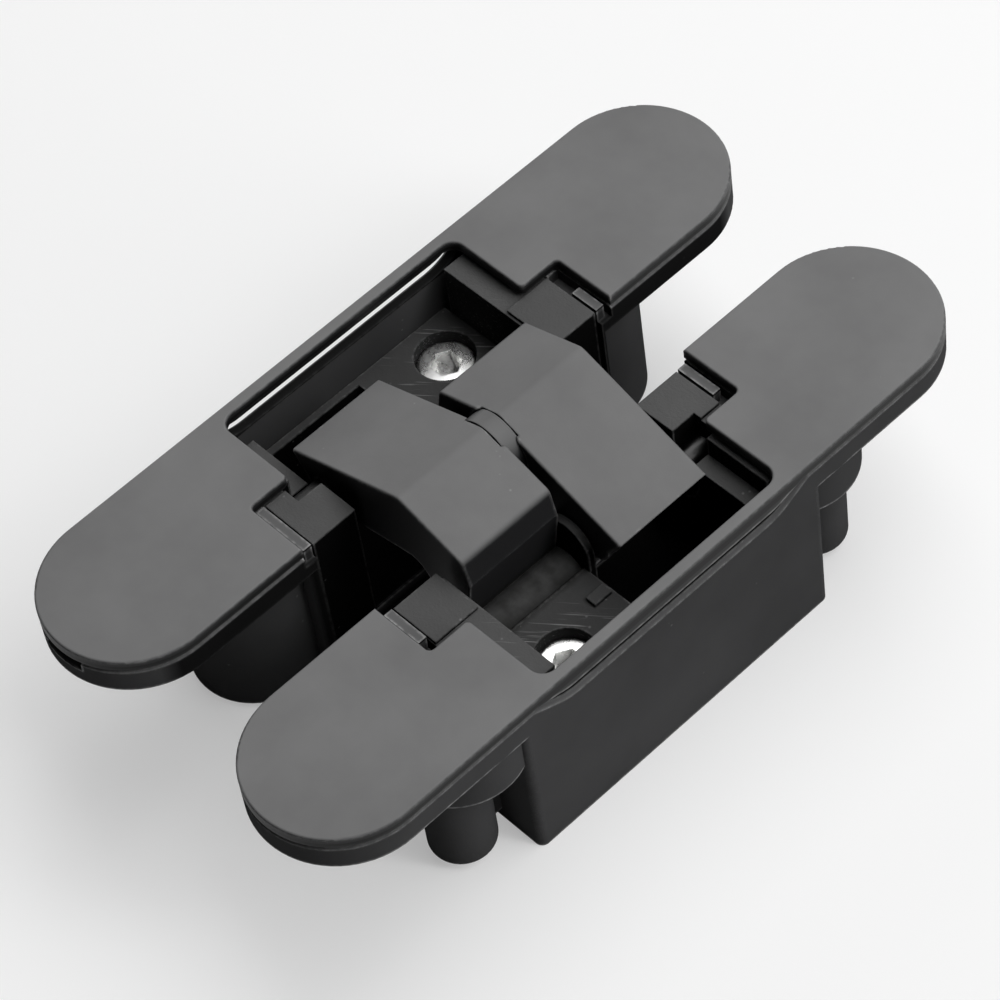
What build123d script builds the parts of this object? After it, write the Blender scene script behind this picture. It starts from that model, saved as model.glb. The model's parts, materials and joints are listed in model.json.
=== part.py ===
from build123d import *
import cmath
import math
import os

# Concealed door hinge, lying open at 180 degrees with both covers facing up.
# The frame leaf is on the -X side, the door leaf on the +X side, and the long axis is Y.
# The arms are one casting turned half a turn about Z. The leaves follow the same turn, but the
# frame leaf has round drums under its ends, wider ears and other lips.
# Lengths are in millimetres and Z is zero under the housings.

# Leaf
leaf_length = 120.0
leaf_width = 26.0
leaf_gap = 14.0
leaf_depth = 31.5

# Cover plate
plate_thickness = 1.7
seam_height = 0.4
seam_inset = 0.6
rim_width = 1.4
strip_width = 1.8
window_outer_half = 21.7
window_margin = 0.9
window_step = -2.6
window_radius = 2.2
cap_radius = 0.8
edge_radius = 0.35
peg_radius = 1.5
peg_length = 3.2
peg_clearance = 0.1
peg_across = -7.5
peg_offset = 13.4
skirt_thickness = 1.0
skirt_depth = 1.5

# Housing
flange_thickness = 4.0
flange_bevel = 0.3
box_half = 27.6
end_wall = 1.1
outer_wall = 2.0
inner_wall = 1.6
inner_wall_height = 5.8
floor_thickness = 2.4
wall_drop = 2.7
wall_bevel = 0.6
dip_half = 24.5
dip_slope = 5.5
dip_radius = 8.0
lobe_radius = 9.7
lobe_along = 31.3
lobe_depth = 12.5
boss_radius = 4.8
boss_across = 4.4
boss_gap = 1.4
boss_bottom = 1.0
boss_edge = 1.2
rib_thickness = 2.4
drum_radius = 9.8
drum_across = -0.7
drum_along = 31.2
ear_recess = 2.0
lip_inner = -12.2
lip_width = 1.4
lip_drop = 1.7
frame_lips = ((-1, 4.7), (1, 9.4))
door_lips = ((-1, 6.6), (1, 6.6))
pry_width = 7.0
pry_depth = 3.0
pry_height = 1.6
corner_radius = 1.2
cut_margin = 1.0
match_tolerance = 0.01

# Fixing holes and adjusting screws
fixing_radius = 2.6
fixing_head_radius = 4.3
fixing_edge = 7.0
fixing_pitch = 8.5
adjuster_radius = 2.5
adjuster_length = 12.0
adjuster_sink = 1.5
adjuster_key = 1.5
adjuster_key_depth = 3.0
adjuster_clearance = 0.05

# Linkage, seen along Y with the leaves open
pivot_reach = 13.0
pivot_depth = 14.0
centre_rise = 0.5
slide_reach = 16.5
slide_depth = 6.6
arm_swing = 75.0
arm_fold = 30.0

# Arm casting
arm_width = 16.2
arm_spacing = 1.6
ridge_rise = 5.8
tip_reach = 22.3
tip_depth = 2.9
shoulder_reach = 11.6
shoulder_rise = 1.7
belly_reach = 12.5
belly_depth = 2.5
belly_radius = 6.0
waist_reach = 10.4
pivot_hub = 3.5
slide_hub = 3.2
arm_throat_reach = 2.0
arm_throat_depth = 5.6
ridge_radius = 2.0
roof_edge = 0.4
shoulder_radius = 1.2
throat_radius = 3.0

# Pins, bushes and the spacer
pivot_pin_radius = 2.0
centre_pin_radius = 2.4
slide_pin_radius = 1.8
bush_wall = 0.7
running_clearance = 0.05
slot_clearance = 0.2
slot_depth = 4.5
slide_pin_inset = 2.5
pin_wall = 1.8
spacer_radius = 5.1
spacer_recess = 0.7
spacer_clearance = 0.2
pin_chamfer = 0.3

# Carrier
carrier_clearance = 0.15
cheek_clearance = 1.2
cheek_drop = 2.4
cheek_reach = 9.5
step_drop = 5.8
step_depth = 2.8
ear_drop = 1.9
ear_inner = -12.2
frame_ear_outer = -2.8
door_ear_outer = -4.2
ear_setback = 0.4
ear_inset = 0.15
carrier_floor = 5.6
deck_drop = 11.6
deck_clearance = 0.3
ledge_width = 1.2
post_radius = 4.2
post_rise = 5.0
post_clearance = 0.2
nib_across = 0.9
nib_along = 2.6
nib_width = 1.8
nib_length = 3.2
nib_height = 0.6

# Clamp screw that holds the carrier to the housing floor
clamp_across = 4.4
clamp_along = 12.2
clamp_head_radius = 4.25
clamp_head_height = 5.0
clamp_shank_radius = 2.5
clamp_key = 2.3
clamp_key_depth = 3.0
clamp_recess = 1.7
clamp_clearance = 0.2
clamp_edge = 0.5
clamp_tip = 0.3

# Derived places
leaf_half = leaf_width / 2
leaf_shift = leaf_gap / 2 + leaf_half
top = leaf_depth
plate_bottom = top - plate_thickness
flange_top = plate_bottom - seam_height
flange_bottom = flange_top - flange_thickness
outer_face = leaf_half - outer_wall
box_inside = box_half - end_wall
carrier_half = box_inside - carrier_clearance
pivot_across = pivot_reach - leaf_shift
pivot_height = top - pivot_depth
centre_height = top + centre_rise
slide_height = top - slide_depth
arm_start = arm_spacing / 2
arm_end = arm_start + arm_width
window_inner_half = box_half + window_margin
peg_along = box_half + peg_offset
fixing_far = leaf_length / 2 - fixing_edge
fixing_near = fixing_far - fixing_pitch
lobe_across = leaf_half - lobe_radius
lobe_bottom = top - lobe_depth
boss_along = box_half + boss_radius + boss_gap
cheek_start = arm_end + cheek_clearance
cheek_top = top - cheek_drop
step_top = top - step_drop
ear_top = top - ear_drop
ear_start = cheek_start + ear_setback
ear_end = carrier_half - ear_inset
deck_height = top - deck_drop
deck_start = pivot_across + pivot_hub / 2
post_half = arm_start - post_clearance
bush_radius = pivot_pin_radius + running_clearance + bush_wall
centre_bush_radius = centre_pin_radius + running_clearance + bush_wall
floor_top = floor_thickness + carrier_clearance


# Horizontal plane of a leaf: x points away from the other leaf
def level(side, height):
    return Plane(origin=(side * leaf_shift, 0, height), x_dir=(side, 0, 0), z_dir=(0, 0, 1))


# Upright plane across a leaf or an arm, at a distance along its own pin axis
def section(side, along, shift):
    return Plane(origin=(side * shift, -side * along, 0), x_dir=(side, 0, 0), z_dir=(0, -side, 0))


# Upright plane along a leaf, with its normal away from the other leaf
def long_section(side, across):
    return Plane(origin=(side * (leaf_shift + across), 0, 0), x_dir=(0, side, 0), z_dir=(side, 0, 0))


# Track of a slide pin in the leaf that it slides in, from open to closed
def slide_track(steps):
    pivot = complex(-pivot_reach, pivot_height)
    centre = complex(0, centre_height)
    slide = complex(-slide_reach, slide_height)
    track = []
    for step in range(steps + 1):
        swing = math.radians(arm_swing) * step / steps
        fold = math.radians(arm_fold) * step / steps
        place = pivot + cmath.rect(1, swing) * (centre - pivot)
        place += cmath.rect(1, swing + fold) * (slide - centre)
        track.append((-place.real - leaf_shift, place.imag))
    return track


def window_sketch():
    with BuildSketch() as window:
        with BuildLine():
            Polyline(
                (-leaf_half - cut_margin, -window_inner_half),
                (window_step, -window_inner_half),
                (window_step, -window_outer_half),
                (leaf_half - strip_width, -window_outer_half),
                (leaf_half - strip_width, window_outer_half),
                (window_step, window_outer_half),
                (window_step, window_inner_half),
                (-leaf_half - cut_margin, window_inner_half),
                close=True,
            )
        make_face()
        corners = window.vertices()
        fillet(corners.group_by(Axis.X)[-1], window_radius)
        steps = window.vertices().filter_by(lambda v: abs(v.X - window_step) < match_tolerance)
        fillet(steps, cap_radius)
    return window.sketch


# Long shallow dip with curved ends that hangs from a height
def dip_sketch(height, drop):
    with BuildSketch() as dip:
        with BuildLine():
            Polyline(
                (-dip_half, height),
                (-dip_half + dip_slope, height - drop),
                (dip_half - dip_slope, height - drop),
                (dip_half, height),
                close=True,
            )
        make_face()
        fillet(dip.vertices().group_by(Axis.Y)[0], dip_radius)
    return dip.sketch


def make_cover(side, name):
    with BuildPart() as cover:
        with BuildSketch(level(side, plate_bottom)):
            SlotOverall(leaf_length, leaf_width, rotation=90)
            add(window_sketch(), mode=Mode.SUBTRACT)
        extrude(amount=plate_thickness)
        fillet(cover.faces().sort_by(Axis.Z)[-1].edges(), edge_radius)
        # Inset rim under each cap, which stands on the flange and leaves a shadow groove
        with BuildSketch(level(side, flange_top)):
            SlotOverall(leaf_length - 2 * seam_inset, leaf_width - 2 * seam_inset, rotation=90)
            offset(amount=-rim_width, mode=Mode.SUBTRACT)
            Rectangle(leaf_width, 2 * (window_inner_half + seam_inset), mode=Mode.SUBTRACT)
        extrude(amount=seam_height)
        with BuildSketch(level(side, plate_bottom - peg_length)):
            with Locations((peg_across, -peg_along), (peg_across, peg_along)):
                Circle(peg_radius)
        extrude(amount=peg_length)
        # Skirt along the outer edge, which hangs into the dip of the housing's wall
        with BuildSketch(long_section(side, leaf_half - skirt_thickness)):
            add(dip_sketch(plate_bottom, skirt_depth))
        extrude(amount=skirt_thickness)
    cover.part.label = name
    export_step(cover.part, f"parts/{name}.step")


def make_housing(side, name, lips, has_drums):
    with BuildPart() as housing:
        with BuildSketch(level(side, flange_bottom)):
            SlotOverall(leaf_length, leaf_width, rotation=90)
        extrude(amount=flange_thickness)
        chamfer(housing.edges().group_by(Axis.Z)[-1], flange_bevel)
        with BuildSketch(level(side, 0)):
            Rectangle(leaf_width, 2 * box_half)
        extrude(amount=flange_bottom)
        upright = housing.edges().filter_by(Axis.Z).filter_by(lambda e: e.length > flange_thickness)
        fillet(upright, corner_radius)
        with BuildSketch(level(side, lobe_bottom)):
            with Locations((lobe_across, -lobe_along), (lobe_across, lobe_along)):
                Circle(lobe_radius)
        extrude(amount=flange_bottom - lobe_bottom)
        with BuildSketch(level(side, boss_bottom)):
            with Locations((boss_across, -boss_along), (boss_across, boss_along)):
                Circle(boss_radius)
        extrude(amount=flange_bottom - boss_bottom)
        fillet(housing.edges().filter_by_position(Axis.Z, boss_bottom, boss_bottom), boss_edge)
        with BuildSketch(level(side, boss_bottom + boss_edge)):
            with Locations((boss_across, 0)):
                Rectangle(rib_thickness, 2 * boss_along)
        extrude(amount=flange_bottom - boss_bottom - boss_edge)
        if has_drums:
            with BuildSketch(level(side, boss_bottom)):
                with Locations((drum_across, -drum_along), (drum_across, drum_along)):
                    Circle(drum_radius)
            extrude(amount=flange_bottom - boss_bottom)
        # Room for the carrier, open to the inner side above the low inner wall
        with BuildSketch(level(side, floor_thickness)):
            with Locations(((outer_face - leaf_half + inner_wall) / 2, 0)):
                Rectangle(outer_face + leaf_half - inner_wall, 2 * box_inside)
        extrude(amount=top, mode=Mode.SUBTRACT)
        with BuildSketch(level(side, inner_wall_height)):
            with Locations(((outer_face - leaf_half - cut_margin) / 2, 0)):
                Rectangle(outer_face + leaf_half + cut_margin, 2 * box_inside)
        extrude(amount=top, mode=Mode.SUBTRACT)
        # Dip in the outer wall, bevelled outside, which leaves a slot under the cover's skirt
        with BuildSketch(long_section(side, outer_face - cut_margin)):
            add(dip_sketch(flange_top, wall_drop))
        extrude(amount=outer_wall + 2 * cut_margin, mode=Mode.SUBTRACT)
        rims = housing.edges().filter_by(
            lambda e: abs(side * e.center().X - leaf_shift - leaf_half) < match_tolerance
            and abs(e.center().Y) < dip_half
            and flange_top - wall_drop - match_tolerance < e.center().Z < flange_top
        )
        chamfer(rims, wall_bevel)
        # Recess beside each ear, with a lip standing in it
        with BuildSketch(level(side, flange_top - ear_recess)):
            with Locations(((window_step - leaf_half - cut_margin) / 2, 0)):
                Rectangle(window_step + leaf_half + cut_margin, 2 * window_inner_half)
        extrude(amount=ear_recess, mode=Mode.SUBTRACT)
        with BuildSketch(level(side, flange_top - ear_recess)):
            for end, length in lips:
                with Locations((lip_inner + length / 2, end * (box_inside + lip_width / 2))):
                    Rectangle(length, lip_width)
        extrude(amount=top - lip_drop - flange_top + ear_recess)
        # Countersunk fixing holes, peg holes and adjuster bores
        with Locations(level(side, flange_top)):
            with Locations((0, -fixing_far), (0, -fixing_near), (0, fixing_near), (0, fixing_far)):
                CounterSinkHole(fixing_radius, fixing_head_radius, depth=flange_thickness)
            with Locations((peg_across, -peg_along), (peg_across, peg_along)):
                Hole(peg_radius + peg_clearance, depth=peg_length - seam_height + peg_clearance)
            with Locations((boss_across, -boss_along), (boss_across, boss_along)):
                Hole(adjuster_radius + adjuster_clearance, depth=adjuster_sink + adjuster_length)
        with Locations(level(side, floor_thickness)):
            with Locations((clamp_across, -clamp_along)):
                Hole(clamp_shank_radius)
        # Pry slot for lifting the cover
        with BuildSketch(level(side, flange_top - pry_height)):
            with Locations((0, leaf_length / 2)):
                Rectangle(pry_width, 2 * pry_depth)
        extrude(amount=pry_height, mode=Mode.SUBTRACT)
    housing.part.label = name
    export_step(housing.part, f"parts/{name}.step")


def make_carrier(side, name, ear_outer):
    with BuildPart() as carrier:
        # Deep floor under the sliding end, raised deck under the clamp screw
        with BuildSketch(level(side, floor_top)):
            inner = -leaf_half + inner_wall + carrier_clearance
            outer = outer_face - carrier_clearance
            with Locations(((inner + outer) / 2, 0)):
                Rectangle(outer - inner, 2 * carrier_half)
        extrude(amount=carrier_floor - floor_top)
        with BuildSketch(level(side, carrier_floor)):
            with Locations(((deck_start + outer) / 2, -(cheek_start + post_half) / 2)):
                Rectangle(outer - deck_start, cheek_start - post_half)
        extrude(amount=deck_height - carrier_floor)
        # Ledge along the outer side of the sliding end, level with the deck
        with BuildSketch(level(side, carrier_floor)):
            with Locations((outer - ledge_width / 2, (cheek_start - post_half) / 2)):
                Rectangle(ledge_width, cheek_start + post_half)
        extrude(amount=deck_height - carrier_floor)
        # Plain cheek beside the deck, and one with a low step in front at the sliding end
        for end, start, height in (
            (-1, cheek_start, cheek_top),
            (1, cheek_start, step_top),
            (1, cheek_start + step_depth, cheek_top),
        ):
            with BuildSketch(level(side, carrier_floor)):
                with Locations(((inner + cheek_reach) / 2, end * (start + carrier_half) / 2)):
                    Rectangle(cheek_reach - inner, carrier_half - start)
            extrude(amount=height - carrier_floor)
        # Ears at the inner edge
        for end in (-1, 1):
            with BuildSketch(level(side, inner_wall_height + carrier_clearance)):
                with Locations(((ear_inner + ear_outer) / 2, end * (ear_start + ear_end) / 2)):
                    Rectangle(ear_outer - ear_inner, ear_end - ear_start)
            extrude(amount=ear_top - inner_wall_height - carrier_clearance)
        # Seat of the arm's hub under the deck's edge, and a nib on the deck
        with BuildSketch(section(side, post_half, leaf_shift)):
            with Locations((pivot_across, pivot_height)):
                Circle(pivot_hub + deck_clearance)
        extrude(amount=cheek_start - post_half, mode=Mode.SUBTRACT)
        with BuildSketch(level(side, deck_height)):
            with Locations((nib_across, -nib_along)):
                Rectangle(nib_width, nib_length)
        extrude(amount=nib_height)
        # Post between the arms that carries the pivot pin's inner end
        with BuildSketch(section(side, -post_half, leaf_shift)):
            with Locations((pivot_across, pivot_height + post_rise)):
                Circle(post_radius)
            with Locations((pivot_across, (pivot_height + post_rise + floor_top) / 2)):
                Rectangle(2 * post_radius, pivot_height + post_rise - floor_top)
        extrude(amount=2 * post_half)
        # Pivot bore through the post and into the far cheek
        with BuildSketch(section(side, -post_half, leaf_shift)):
            with Locations((pivot_across, pivot_height)):
                Circle(pivot_pin_radius)
        extrude(amount=carrier_half - pin_wall + post_half, mode=Mode.SUBTRACT)
        # Curved slot for the other arm's slide pin, open at the top where the pin goes in
        with BuildSketch(section(side, -cheek_start, leaf_shift)):
            with BuildLine():
                Spline(*slide_track(8))
            trace(line_width=2 * (slide_pin_radius + slot_clearance))
            with Locations(slide_track(1)):
                Circle(slide_pin_radius + slot_clearance)
            with Locations((slide_reach - leaf_shift, (slide_height + top) / 2)):
                Rectangle(2 * (slide_pin_radius + slot_clearance), top - slide_height)
        extrude(amount=-slot_depth, mode=Mode.SUBTRACT)
        with Locations(level(side, deck_height)):
            with Locations((clamp_across, -clamp_along)):
                CounterBoreHole(
                    clamp_shank_radius + clamp_clearance,
                    clamp_head_radius + clamp_clearance,
                    clamp_recess + clamp_head_height,
                )
    carrier.part.label = name
    export_step(carrier.part, f"parts/{name}.step")


def make_arm(side, name):
    with BuildPart() as arm:
        with BuildSketch(section(side, arm_start, 0)) as profile:
            with BuildLine():
                Polyline(
                    (-tip_reach, top - tip_depth),
                    (0, top + ridge_rise),
                    (shoulder_reach, top + shoulder_rise),
                    (belly_reach, top - belly_depth),
                    (waist_reach, pivot_height),
                    (pivot_reach - pivot_hub, pivot_height),
                    (arm_throat_reach, top - arm_throat_depth),
                    (-slide_reach, slide_height - slide_hub),
                    (-slide_reach - slide_hub, slide_height),
                    close=True,
                )
            make_face()
            fillet(profile.vertices().sort_by(Axis.Y)[-1], ridge_radius)
            fillet(profile.vertices().filter_by(lambda v: v.X == shoulder_reach), shoulder_radius)
            fillet(profile.vertices().filter_by(lambda v: v.X == belly_reach), belly_radius)
            fillet(profile.vertices().filter_by(lambda v: v.X == arm_throat_reach), throat_radius)
            with Locations((pivot_reach, pivot_height)):
                Circle(pivot_hub)
            with Locations((-slide_reach, slide_height)):
                Circle(slide_hub)
        extrude(amount=arm_width)
        ends = arm.faces().filter_by(Axis.Y).edges()
        fillet(ends.filter_by(lambda e: e.center().Z > top + match_tolerance), roof_edge)
        with BuildSketch(section(side, arm_start, 0)):
            with Locations((pivot_reach, pivot_height)):
                Circle(bush_radius)
        extrude(amount=arm_width, mode=Mode.SUBTRACT)
        with BuildSketch(section(side, arm_start, 0)):
            with Locations((0, centre_height)):
                Circle(centre_bush_radius)
        extrude(amount=arm_width - pin_wall, mode=Mode.SUBTRACT)
        with BuildSketch(section(side, arm_start + slide_pin_inset, 0)):
            with Locations((-slide_reach, slide_height)):
                Circle(slide_pin_radius)
        extrude(amount=arm_width, mode=Mode.SUBTRACT)
        with BuildSketch(section(side, arm_start, 0)):
            with Locations((0, centre_height)):
                Circle(spacer_radius + spacer_clearance)
        extrude(amount=spacer_recess, mode=Mode.SUBTRACT)
    arm.part.label = name
    export_step(arm.part, f"parts/{name}.step")


def make_clamp_screw(side, name):
    head_top = deck_height - clamp_recess
    with BuildPart() as screw:
        with BuildSketch(level(side, head_top - clamp_head_height)):
            with Locations((clamp_across, -clamp_along)):
                Circle(clamp_head_radius)
        extrude(amount=clamp_head_height)
        fillet(screw.edges().sort_by(Axis.Z)[-1], clamp_edge)
        with BuildSketch(level(side, head_top)):
            with Locations((clamp_across, -clamp_along)):
                RegularPolygon(clamp_key, 6)
        extrude(amount=-clamp_key_depth, mode=Mode.SUBTRACT)
        with BuildSketch(level(side, head_top - clamp_head_height)):
            with Locations((clamp_across, -clamp_along)):
                Circle(clamp_shank_radius)
        extrude(amount=clamp_head_height - head_top + clamp_tip)
    screw.part.label = name
    export_step(screw.part, f"parts/{name}.step")


def make_adjusters(side, name):
    screw_top = flange_top - adjuster_sink
    with BuildPart() as adjusters:
        with BuildSketch(level(side, screw_top - adjuster_length)):
            with Locations((boss_across, -boss_along), (boss_across, boss_along)):
                Circle(adjuster_radius)
        extrude(amount=adjuster_length)
        with BuildSketch(level(side, screw_top)):
            with Locations((boss_across, -boss_along), (boss_across, boss_along)):
                RegularPolygon(adjuster_key, 6)
        extrude(amount=-adjuster_key_depth, mode=Mode.SUBTRACT)
    adjusters.part.label = name
    export_step(adjusters.part, f"parts/{name}.step")


def make_pivot_pin(side, name):
    with BuildPart() as pin:
        with BuildSketch(section(side, -post_half, leaf_shift)):
            with Locations((pivot_across, pivot_height)):
                Circle(pivot_pin_radius)
        extrude(amount=carrier_half - pin_wall + post_half)
        chamfer(pin.edges(), pin_chamfer)
    pin.part.label = name
    export_step(pin.part, f"parts/{name}.step")


def make_bush(side, across, height, pin_radius, start, stop, name):
    with BuildPart() as bush:
        with BuildSketch(section(side, start, 0)):
            with Locations((across, height)):
                Circle(pin_radius + running_clearance + bush_wall)
                Circle(pin_radius + running_clearance, mode=Mode.SUBTRACT)
        extrude(amount=stop - start)
    bush.part.label = name
    export_step(bush.part, f"parts/{name}.step")


def make_slide_pin(side, name):
    pin_start = arm_start + slide_pin_inset
    with BuildPart() as pin:
        with BuildSketch(section(side, pin_start, 0)):
            with Locations((-slide_reach, slide_height)):
                Circle(slide_pin_radius)
        extrude(amount=cheek_start + slot_depth - slot_clearance - pin_start)
        chamfer(pin.edges(), pin_chamfer)
    pin.part.label = name
    export_step(pin.part, f"parts/{name}.step")


def make_centre_pin():
    with BuildPart() as centre_pin:
        with BuildSketch(section(1, 0, 0)):
            with Locations((0, centre_height)):
                Circle(centre_pin_radius)
        extrude(amount=arm_end - pin_wall, both=True)
        chamfer(centre_pin.edges(), pin_chamfer)
    centre_pin.part.label = "centre_pin"
    export_step(centre_pin.part, "parts/centre_pin.step")


def make_spacer():
    with BuildPart() as spacer_washer:
        with BuildSketch(section(1, 0, 0)):
            with Locations((0, centre_height)):
                Circle(spacer_radius)
                Circle(centre_pin_radius + running_clearance, mode=Mode.SUBTRACT)
        extrude(amount=arm_start + spacer_recess - spacer_clearance, both=True)
    spacer_washer.part.label = "spacer_washer"
    export_step(spacer_washer.part, "parts/spacer_washer.step")


os.makedirs("parts", exist_ok=True)
for side, leaf, lips, ear_outer in (
    (-1, "frame", frame_lips, frame_ear_outer),
    (1, "door", door_lips, door_ear_outer),
):
    make_cover(side, f"{leaf}_cover")
    make_housing(side, f"{leaf}_housing", lips, leaf == "frame")
    make_carrier(side, f"{leaf}_carrier", ear_outer)
    make_clamp_screw(side, f"{leaf}_clamp_screw")
    make_adjusters(side, f"{leaf}_adjusters")
    make_pivot_pin(side, f"{leaf}_pivot_pin")
    make_arm(side, f"{leaf}_arm")
    make_bush(side, pivot_reach, pivot_height, pivot_pin_radius, arm_start, arm_end, f"{leaf}_pivot_bush")
    make_bush(
        side, 0, centre_height, centre_pin_radius,
        arm_start + spacer_recess, arm_end - pin_wall, f"{leaf}_centre_bush",
    )
    make_slide_pin(side, f"{leaf}_slide_pin")
make_centre_pin()
make_spacer()
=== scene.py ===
import bmesh
import bpy
import json
import math
from mathutils import Matrix, Vector

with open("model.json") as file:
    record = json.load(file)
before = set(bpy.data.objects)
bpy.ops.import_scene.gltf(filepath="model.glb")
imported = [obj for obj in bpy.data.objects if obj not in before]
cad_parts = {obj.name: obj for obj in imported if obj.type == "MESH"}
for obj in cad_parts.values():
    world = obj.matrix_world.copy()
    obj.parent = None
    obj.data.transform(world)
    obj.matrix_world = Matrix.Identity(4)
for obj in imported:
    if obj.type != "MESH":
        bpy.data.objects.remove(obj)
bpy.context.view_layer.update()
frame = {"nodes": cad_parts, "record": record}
nodes = frame["nodes"]
print("frame loaded:", len(nodes), "nodes")


# small helpers for shader trees
def link(tree, source, target):
    tree.links.new(source, target)


def feed(tree, value, socket):
    if isinstance(value, (int, float)):
        socket.default_value = value
    else:
        link(tree, value, socket)


def mathNode(tree, operation, first, second=0.0):
    node = tree.nodes.new("ShaderNodeMath")
    node.operation = operation
    feed(tree, first, node.inputs[0])
    feed(tree, second, node.inputs[1])
    return node.outputs[0]


def plus(tree, first, second):
    return mathNode(tree, "ADD", first, second)


def minus(tree, first, second):
    return mathNode(tree, "SUBTRACT", first, second)


def times(tree, first, second):
    return mathNode(tree, "MULTIPLY", first, second)


def greater(tree, first, second):
    return mathNode(tree, "MAXIMUM", first, second)


def positive(tree, value):
    return mathNode(tree, "ABSOLUTE", value)


rising = (0.0, 1.0)
falling = (1.0, 0.0)


def remap(tree, value, span, target):
    node = tree.nodes.new("ShaderNodeMapRange")
    link(tree, value, node.inputs["Value"])
    labels = ("From Min", "From Max", "To Min", "To Max")
    for label, number in zip(labels, (*span, *target)):
        node.inputs[label].default_value = number
    return node.outputs["Result"]


def noise(tree, vector, scale, detail, roughness=0.5):
    node = tree.nodes.new("ShaderNodeTexNoise")
    link(tree, vector, node.inputs["Vector"])
    feed(tree, scale, node.inputs["Scale"])
    node.inputs["Detail"].default_value = detail
    node.inputs["Roughness"].default_value = roughness
    return node.outputs["Fac"]


def split(tree, vector):
    node = tree.nodes.new("ShaderNodeSeparateXYZ")
    link(tree, vector, node.inputs["Vector"])
    return node.outputs["X"], node.outputs["Y"], node.outputs["Z"]


def reach(tree, first, second):
    squares = plus(tree, mathNode(tree, "POWER", first, 2.0), mathNode(tree, "POWER", second, 2.0))
    return mathNode(tree, "SQRT", squares)


def newGroup(name, inputs, output):
    group = bpy.data.node_groups.new(name, "ShaderNodeTree")
    for label, value in inputs.items():
        kind = "NodeSocketVector" if value is None else "NodeSocketFloat"
        socket = group.interface.new_socket(label, in_out="INPUT", socket_type=kind)
        if value is not None:
            socket.default_value = value
    for label in output:
        group.interface.new_socket(label, in_out="OUTPUT", socket_type="NodeSocketFloat")
    return group, group.nodes.new("NodeGroupInput").outputs, group.nodes.new("NodeGroupOutput").inputs


def useGroup(tree, group, vector, **values):
    node = tree.nodes.new("ShaderNodeGroup")
    node.node_tree = group
    link(tree, vector, node.inputs["Vector"])
    for label, value in values.items():
        feed(tree, value, node.inputs[label])
    return node.outputs


# fine orange peel of a baked coat over the casting's own skin, with a slow change in the film
def makeCoatGrain():
    inputs = dict(Vector=None, Peel=4200.0, Cast=420.0, Share=0.3)
    group, source, result = newGroup("coatGrain", inputs, ("Height", "Film"))
    peel = noise(group, source["Vector"], source["Peel"], detail=2.0, roughness=0.55)
    cast = noise(group, source["Vector"], source["Cast"], detail=4.0, roughness=0.6)
    link(group, plus(group, peel, times(group, cast, source["Share"])), result["Height"])
    link(group, noise(group, source["Vector"], scale=46.0, detail=3.0), result["Film"])
    return group


# sparse pale specks: dust and tiny pits on a coat
def makeDustSpecks():
    dotSpan = (0.05, 0.13)
    group, source, result = newGroup("dustSpecks", dict(Vector=None, Scale=520.0, Spread=0.6), ("Mask",))
    cells = group.nodes.new("ShaderNodeTexVoronoi")
    link(group, source["Vector"], cells.inputs["Vector"])
    link(group, source["Scale"], cells.inputs["Scale"])
    dots = remap(group, cells.outputs["Distance"], dotSpan, falling)
    areas = noise(group, source["Vector"], scale=160.0, detail=2.0)
    link(group, times(group, dots, mathNode(group, "GREATER_THAN", areas, source["Spread"])), result["Mask"])
    return group


# coat rubbed thin in patches along sharp edges, where little of the solid lies under the surface, and a painted
# highlight along the same edges
def makeEdgeWearAndHighlight():
    backingSpan = (0.96, 0.75)
    patchSpan = (0.38, 0.62)
    patchRange = (0.3, 1.0)
    group, source, result = newGroup("edgeWearAndHighlight", dict(Vector=None, Backing=1.0, Scale=700.0), ("Mask",))
    edge = remap(group, source["Backing"], backingSpan, rising)
    areas = noise(group, source["Vector"], source["Scale"], detail=4.0, roughness=0.7)
    link(group, times(group, edge, remap(group, areas, patchSpan, patchRange)), result["Mask"])
    return group


# hairline rubs gathered in a few places; a small turn runs them along the leaf
def makeHairlines():
    drawnOut = (1.0, 0.03, 1.0)
    lineSpan = (0.63, 0.70)
    placeSpan = (0.0, 0.12)
    group, source, result = newGroup("hairlines", dict(Vector=None, Turn=0.2, Spread=0.50), ("Mask",))
    turned = group.nodes.new("ShaderNodeVectorRotate")
    turned.rotation_type = "Z_AXIS"
    link(group, source["Vector"], turned.inputs["Vector"])
    link(group, source["Turn"], turned.inputs["Angle"])
    drawn = group.nodes.new("ShaderNodeVectorMath")
    drawn.operation = "MULTIPLY"
    drawn.inputs[1].default_value = drawnOut
    link(group, turned.outputs["Vector"], drawn.inputs[0])
    lines = remap(group, noise(group, drawn.outputs["Vector"], scale=3600.0, detail=2.0), lineSpan, rising)
    places = minus(group, noise(group, source["Vector"], scale=70.0, detail=2.0), source["Spread"])
    link(group, times(group, lines, remap(group, places, placeSpan, rising)), result["Mask"])
    return group


# dark grease that works out round the two pivot pins, which lie along Y, and painted shade round the hubs in the same
# dark patch
def makePivotGreaseAndShade():
    raggedness = 0.0012
    edgeSpan = (-0.0008, 0.0008)
    inputs = dict(Vector=None, Across=0.013, Height=0.0175, Reach=0.0046)
    group, source, result = newGroup("pivotGreaseAndShade", inputs, ("Mask",))
    x, _, z = split(group, source["Vector"])
    across = minus(group, positive(group, x), source["Across"])
    away = reach(group, across, minus(group, z, source["Height"]))
    ragged = times(group, noise(group, source["Vector"], scale=380.0, detail=3.0), raggedness)
    edge = minus(group, source["Reach"], plus(group, away, ragged))
    link(group, remap(group, edge, edgeSpan, rising), result["Mask"])
    return group


# distance from the nearer clamp screw's axis; the two lie half a turn apart about Z
def makeScrewReach():
    group, source, result = newGroup("screwReach", dict(Vector=None, Across=0.0244, Along=0.0122), ("Reach",))
    x, y, _ = split(group, source["Vector"])
    side = mathNode(group, "SIGN", x)
    across = minus(group, times(group, x, side), source["Across"])
    along = plus(group, times(group, y, side), source["Along"])
    link(group, reach(group, across, along), result["Reach"])
    return group
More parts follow.
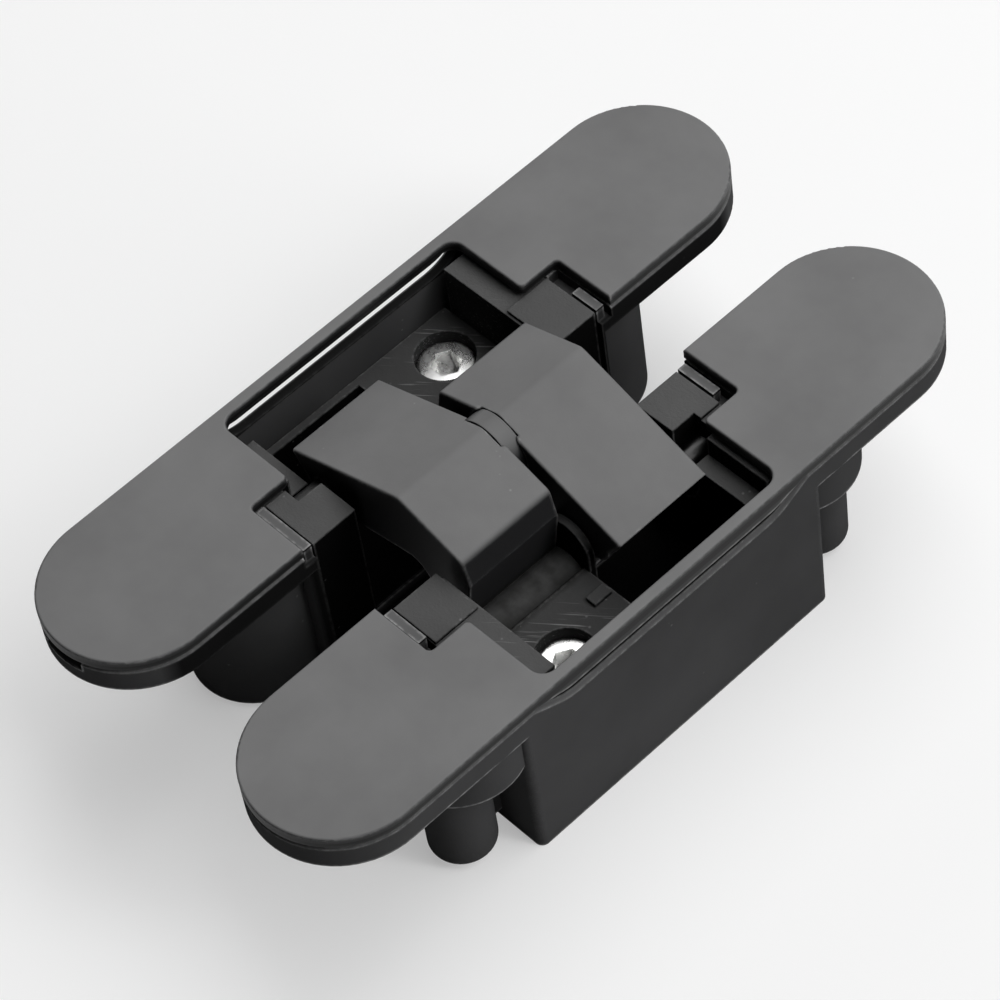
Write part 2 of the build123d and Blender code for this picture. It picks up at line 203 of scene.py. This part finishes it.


# settled dust and handling with painted top light: a paler colour on open faces that look up when the leaves lie flat
def makeDustAndTopSheen():
    facingSpan = (0.30, 0.92)
    heightSpan = (0.0165, 0.0215)
    driftSpan = (0.3, 0.7)
    driftRange = (0.85, 1.1)
    group, source, result = newGroup("dustAndTopSheen", dict(Vector=None, Normal=None), ("Mask",))
    facing = split(group, source["Normal"])[2]
    height = split(group, source["Vector"])[2]
    drift = remap(group, noise(group, source["Vector"], scale=55.0, detail=4.0, roughness=0.6), driftSpan, driftRange)
    up = times(group, remap(group, facing, facingSpan, rising), drift)
    link(group, times(group, up, remap(group, height, heightSpan, rising)), result["Mask"])
    return group


# painted shade: darker colour on the walls that face the gap between the leaves, below the flanges' top edges
def makePaintedGapShade():
    inwardSpan = (-0.0006, 0.0004)
    belowSpan = (-0.0002, 0.0003)
    group, source, result = newGroup("paintedGapShade", dict(Vector=None, Across=0.0078, Height=0.0290), ("Mask",))
    x, _, z = split(group, source["Vector"])
    inward = remap(group, minus(group, source["Across"], positive(group, x)), inwardSpan, rising)
    below = remap(group, minus(group, source["Height"], z), belowSpan, rising)
    link(group, times(group, inward, below), result["Mask"])
    return group


# painted shade in the seam under each cover, and on the wall's top in the slot under the skirt
def makeSeamPaintedShade():
    seamSpan = (0.0, 0.00015)
    uprightSpan = (0.2, 0.5)
    wallSpan = (0.0007, 0.0009)
    endSpan = (0.0, 0.0005)
    slotSpan = (0.0014, 0.0016)
    inputs = dict(Vector=None, Normal=None, Height=0.0300, Half=0.0005, Across=0.0316, Along=0.0242, Slot=0.0279)
    group, source, result = newGroup("seamPaintedShade", inputs, ("Mask",))
    x, y, z = split(group, source["Vector"])
    away = positive(group, minus(group, z, source["Height"]))
    band = remap(group, minus(group, away, source["Half"]), seamSpan, falling)
    upright = remap(group, split(group, source["Normal"])[2], uprightSpan, falling)
    wall = positive(group, minus(group, positive(group, x), source["Across"]))
    inside = remap(group, wall, wallSpan, falling)
    ends = remap(group, minus(group, source["Along"], positive(group, y)), endSpan, rising)
    level = remap(group, positive(group, minus(group, z, source["Slot"])), slotSpan, falling)
    slot = times(group, times(group, inside, ends), level)
    link(group, greater(group, times(group, band, upright), slot), result["Mask"])
    return group


coatGrain = makeCoatGrain()
dustSpecks = makeDustSpecks()
edgeWearAndHighlight = makeEdgeWearAndHighlight()
hairlines = makeHairlines()
pivotGreaseAndShade = makePivotGreaseAndShade()
screwReach = makeScrewReach()
dustAndTopSheen = makeDustAndTopSheen()
paintedGapShade = makePaintedGapShade()
seamPaintedShade = makeSeamPaintedShade()
print("shared effects made")


# black coats: film change, roughness range, gloss, rounded edge, grain scales, and how much each mark shows
unmarked = dict(dustAndSheen=0.0, wearAndHighlight=0.0, rubs=0.0, greaseAndShade=0.0, scuffs=0.0, shade=0.0, seam=0.0)
coatFinishes = {
    "cover_coat": dict(
        unmarked, colour=(0.022, 0.022, 0.023), change=0.10, rough=(0.42, 0.48), gloss=0.12, edge=0.00015,
        peel=5200.0, cast=300.0, share=0.1, bump=0.10, depth=0.00005, specks=0.70, speckGain=0.20,
        dustAndSheen=0.50, wearAndHighlight=0.70, wearAndHighlightReach=0.0005, rubs=0.06, seam=0.9),
    "body_coat": dict(
        unmarked, colour=(0.060, 0.060, 0.061), change=0.14, rough=(0.48, 0.58), gloss=0.0, edge=0.00012,
        peel=3600.0, cast=420.0, share=0.6, bump=0.30, depth=0.00005, specks=0.64, speckGain=0.20,
        dustAndSheen=0.22, wearAndHighlight=1.0, wearAndHighlightReach=0.0004, rubs=0.04, shade=0.9, seam=0.9),
    "arm_coat": dict(
        unmarked, colour=(0.018, 0.018, 0.019), change=0.10, rough=(0.42, 0.50), gloss=0.1, edge=0.0003,
        peel=4200.0, cast=380.0, share=0.4, bump=0.22, depth=0.00005, specks=0.62, speckGain=0.28,
        dustAndSheen=0.50, wearAndHighlight=0.65, wearAndHighlightReach=0.0005, rubs=0.05, greaseAndShade=0.9),
    # the carrier coat is darker than the housing's, and its near-black value is painted shade for the cavities it
    # lines
    "carrier_coat": dict(
        unmarked, colour=(0.005, 0.005, 0.005), change=0.25, rough=(0.45, 0.60), gloss=0.0, edge=0.0003,
        peel=2600.0, cast=620.0, share=1.6, bump=0.70, depth=0.00010, specks=0.56, speckGain=0.24,
        dustAndSheen=0.28, wearAndHighlight=0.40, wearAndHighlightReach=0.0004, rubs=0.06, greaseAndShade=0.9, scuffs=0.50, shade=0.9),
    "bush_polymer": dict(
        unmarked, colour=(0.025, 0.025, 0.025), change=0.08, rough=(0.45, 0.60), gloss=0.4, edge=0.0002,
        peel=5200.0, cast=600.0, share=0.3, bump=0.15, depth=0.00005, specks=0.80, speckGain=0.08,
        greaseAndShade=0.5),
    "spacer_polymer": dict(
        unmarked, colour=(0.022, 0.022, 0.023), change=0.08, rough=(0.42, 0.55), gloss=0.3, edge=0.0002,
        peel=5200.0, cast=600.0, share=0.3, bump=0.15, depth=0.00005, specks=0.80, speckGain=0.08,
        dustAndSheen=0.34, rubs=0.04),
}
# pale colour of rubbed coat and dust, also used for painted edge highlights and painted top sheen
paleWearAndSheenColour = (0.30, 0.30, 0.30)
# dark colour of grease, also used for painted shade round the pivot hubs
greaseAndShadeColour = (0.010, 0.010, 0.009)
greaseRough = 0.4
# painted shade colour for the walls facing the gap and for the cover seams
shadeColour = (0.004, 0.004, 0.004)
filmSpan = (0.3, 0.7)
scuffSet = dict(span=(0.0070, 0.0130), turn=0.9, spread=0.30, haze=0.25)


def mixColour(tree, factor, first, second):
    node = tree.nodes.new("ShaderNodeMix")
    node.data_type = "RGBA"
    link(tree, factor, node.inputs["Factor"])
    link(tree, first, node.inputs[6])
    node.inputs[7].default_value = (*second, 1)
    return node.outputs[2]


def tint(tree, colour, factor):
    scaled = tree.nodes.new("ShaderNodeVectorMath")
    scaled.operation = "SCALE"
    scaled.inputs[0].default_value = colour
    link(tree, factor, scaled.inputs["Scale"])
    return scaled.outputs["Vector"]


def newMaterial(name):
    material = bpy.data.materials.new(name)
    material.use_nodes = True
    return material, material.node_tree, material.node_tree.nodes["Principled BSDF"]


def coordinate(tree, label):
    return tree.nodes.new("ShaderNodeTexCoord").outputs[label]


def roundedNormal(tree, radius):
    soft = tree.nodes.new("ShaderNodeBevel")
    soft.samples = 4
    soft.inputs["Radius"].default_value = radius
    return soft.outputs["Normal"]


def solidBacking(tree, distance):
    sense = tree.nodes.new("ShaderNodeAmbientOcclusion")
    sense.inside = sense.only_local = True
    sense.samples = 6
    sense.inputs["Distance"].default_value = distance
    return sense.outputs["AO"]


def addBump(tree, shader, height, normal, strength, depth):
    bump = tree.nodes.new("ShaderNodeBump")
    bump.inputs["Strength"].default_value = strength
    bump.inputs["Distance"].default_value = depth
    link(tree, height, bump.inputs["Height"])
    link(tree, normal, bump.inputs["Normal"])
    link(tree, bump.outputs["Normal"], shader.inputs["Normal"])


# specks, dust with painted top sheen, rubbed edges with painted edge highlights, and scuffs from the key beside the
# clamp screw
def paleMarks(tree, finish, place, facing):
    specks = useGroup(tree, dustSpecks, place, Spread=finish["specks"])["Mask"]
    pale = times(tree, specks, finish["speckGain"])
    # dust with painted top sheen on faces that look up
    if finish["dustAndSheen"]:
        topDustAndSheen = useGroup(tree, dustAndTopSheen, place, Normal=facing)["Mask"]
        pale = plus(tree, pale, times(tree, topDustAndSheen, finish["dustAndSheen"]))
    # rubbed edges with a painted edge highlight
    if finish["wearAndHighlight"]:
        wornAndHighlitEdge = useGroup(tree, edgeWearAndHighlight, place, Backing=solidBacking(tree, finish["wearAndHighlightReach"]))["Mask"]
        pale = greater(tree, pale, times(tree, wornAndHighlitEdge, finish["wearAndHighlight"]))
    if finish["scuffs"]:
        near = remap(tree, useGroup(tree, screwReach, place)["Reach"], scuffSet["span"], falling)
        lines = useGroup(tree, hairlines, place, Turn=scuffSet["turn"], Spread=scuffSet["spread"])["Mask"]
        marks = times(tree, plus(tree, lines, scuffSet["haze"]), near)
        pale = greater(tree, pale, times(tree, marks, finish["scuffs"]))
    return pale


def makeCoat(name, finish):
    material, tree, shader = newMaterial(name)
    place = coordinate(tree, "Object")
    facing = coordinate(tree, "Normal")
    shader.inputs["Specular IOR Level"].default_value = finish["gloss"]
    grain = useGroup(tree, coatGrain, place, Peel=finish["peel"], Cast=finish["cast"], Share=finish["share"])
    tone = remap(tree, grain["Film"], filmSpan, (1.0 - finish["change"], 1.0 + finish["change"]))
    rough = remap(tree, grain["Film"], filmSpan, finish["rough"])
    pale = paleMarks(tree, finish, place, facing)
    colour = mixColour(tree, pale, tint(tree, finish["colour"], tone), paleWearAndSheenColour)
    # painted shade on the walls that face the gap
    if finish["shade"]:
        dark = useGroup(tree, paintedGapShade, place)["Mask"]
        colour = mixColour(tree, times(tree, dark, finish["shade"]), colour, shadeColour)
    # painted shade in the cover seams and the slot under the skirt
    if finish["seam"]:
        dark = useGroup(tree, seamPaintedShade, place, Normal=facing)["Mask"]
        colour = mixColour(tree, times(tree, dark, finish["seam"]), colour, shadeColour)
    if finish["rubs"]:
        rubs = useGroup(tree, hairlines, place)["Mask"]
        rough = minus(tree, rough, times(tree, rubs, finish["rubs"]))
    # grease with painted shade round the pivot hubs
    if finish["greaseAndShade"]:
        film = times(tree, useGroup(tree, pivotGreaseAndShade, place)["Mask"], finish["greaseAndShade"])
        colour = mixColour(tree, film, colour, greaseAndShadeColour)
        rough = plus(tree, rough, times(tree, film, greaseRough))
    link(tree, colour, shader.inputs["Base Color"])
    link(tree, rough, shader.inputs["Roughness"])
    addBump(tree, shader, grain["Height"], roundedNormal(tree, finish["edge"]), finish["bump"], finish["depth"])
    return material


# plated screws show turning rings round their axis; pins have a plain fine grain
metalFinishes = {
    "bright_screw": dict(colour=(0.88, 0.88, 0.87), rough=(0.22, 0.34), ring=42000.0, grain=9000.0),
    "pin_steel": dict(colour=(0.04, 0.04, 0.04), rough=(0.28, 0.42), ring=0.0, grain=6000.0),
}
metalSet = dict(edge=0.0002, bump=0.15, depth=0.00002, tone=(0.9, 1.08), ringShare=0.5, grainShare=0.5)


def makeMetal(name, finish):
    material, tree, shader = newMaterial(name)
    place = coordinate(tree, "Object")
    shader.inputs["Metallic"].default_value = 1.0
    fine = noise(tree, place, finish["grain"], detail=3.0)
    if finish["ring"]:
        turns = times(tree, useGroup(tree, screwReach, place)["Reach"], finish["ring"])
        rings = remap(tree, mathNode(tree, "SINE", turns), (-1.0, 1.0), (0.0, metalSet["ringShare"]))
        fine = plus(tree, times(tree, fine, metalSet["grainShare"]), rings)
    film = noise(tree, place, scale=520.0, detail=3.0)
    tone = remap(tree, film, filmSpan, metalSet["tone"])
    link(tree, tint(tree, finish["colour"], tone), shader.inputs["Base Color"])
    link(tree, remap(tree, film, filmSpan, finish["rough"]), shader.inputs["Roughness"])
    addBump(tree, shader, fine, roundedNormal(tree, metalSet["edge"]), metalSet["bump"], metalSet["depth"])
    return material


materials = {name: makeCoat(name, finish) for name, finish in coatFinishes.items()}
materials.update({name: makeMetal(name, finish) for name, finish in metalFinishes.items()})
for entry in frame["record"]["subparts"]:
    for slot in nodes[entry["node"]].material_slots:
        slot.material = materials[entry["material_slot"]]
print("finishes on", len(nodes), "nodes")


# pale floor that takes a soft shadow; glow is what the camera and reflections see on top of it
stageSet = dict(size=6.0, colour=(0.56, 0.56, 0.56), rough=0.8, glow=0.38, sink=0.00005)


def makeFloor():
    mesh = bpy.data.meshes.new("floor")
    sheet = bmesh.new()
    bmesh.ops.create_grid(sheet, x_segments=1, y_segments=1, size=stageSet["size"] / 2)
    sheet.to_mesh(mesh)
    sheet.free()
    floor = bpy.data.objects.new("floor", mesh)
    bpy.context.scene.collection.objects.link(floor)
    floor.location.z = -stageSet["sink"]
    material, tree, shader = newMaterial("paleFloor")
    shader.inputs["Base Color"].default_value = (*stageSet["colour"], 1)
    shader.inputs["Roughness"].default_value = stageSet["rough"]
    shader.inputs["Specular IOR Level"].default_value = 0.0
    shader.inputs["Emission Color"].default_value = (1, 1, 1, 1)
    rays = tree.nodes.new("ShaderNodeLightPath").outputs
    seen = greater(tree, rays["Is Camera Ray"], rays["Is Glossy Ray"])
    seen = greater(tree, seen, rays["Is Transmission Ray"])
    link(tree, times(tree, seen, stageSet["glow"]), shader.inputs["Emission Strength"])
    mesh.materials.append(material)


makeFloor()


# a broad box overhead towards the back, a panel low on the left, and a strip on the right that draws the edges
lampSet = {
    "softTop": dict(place=(0.12, 0.46, 1.0), size=(2.0, 0.9), power=16.4),
    "leftPanel": dict(place=(-0.98, 0.38, 0.36), size=(0.6, 0.7), power=1.8),
    "rightStrip": dict(place=(0.82, 0.38, 0.50), size=(0.25, 0.7), power=3.2),
}
lampTarget = (0, 0, 0.02)
worldLevel = 0.02


def makeLamp(name, values):
    lamp = bpy.data.lights.new(name, "AREA")
    lamp.shape = "RECTANGLE"
    lamp.size, lamp.size_y = values["size"]
    lamp.energy = values["power"]
    holder = bpy.data.objects.new(name, lamp)
    bpy.context.scene.collection.objects.link(holder)
    holder.location = values["place"]
    aim = Vector(lampTarget) - Vector(values["place"])
    holder.rotation_euler = aim.to_track_quat("-Z", "Y").to_euler()


for name, values in lampSet.items():
    makeLamp(name, values)

world = bpy.data.worlds.new("studio")
world.use_nodes = True
background = world.node_tree.nodes["Background"].inputs
background["Color"].default_value = (1, 1, 1, 1)
background["Strength"].default_value = worldLevel
bpy.context.scene.world = world


# fitted to the outlines of the two covers
viewSet = dict(lens=145.28, sensor=36.0, clip=(0.01, 20.0), azimuth=53.59, elevation=52.31, roll=9.605,
               distance=0.52936, target=(0.006694, -0.005555, 0.0315))


def makeCamera():
    azimuth, elevation, roll = (math.radians(viewSet[key]) for key in ("azimuth", "elevation", "roll"))
    back = Vector((math.sin(azimuth) * math.cos(elevation), -math.cos(azimuth) * math.cos(elevation),
                   math.sin(elevation)))
    right = Vector((math.cos(azimuth), math.sin(azimuth), 0))
    up = back.cross(right)
    turned = right * math.cos(roll) - up * math.sin(roll)
    upright = right * math.sin(roll) + up * math.cos(roll)
    data = bpy.data.cameras.new("camera")
    data.sensor_width = viewSet["sensor"]
    data.lens = viewSet["lens"]
    data.clip_start, data.clip_end = viewSet["clip"]
    camera = bpy.data.objects.new("camera", data)
    bpy.context.scene.collection.objects.link(camera)
    camera.matrix_world = Matrix((turned, upright, back)).transposed().to_4x4()
    camera.location = Vector(viewSet["target"]) + back * viewSet["distance"]
    bpy.context.scene.camera = camera


makeCamera()
bpy.context.scene.view_settings.view_transform = "Standard"
print("camera, light and stage set")
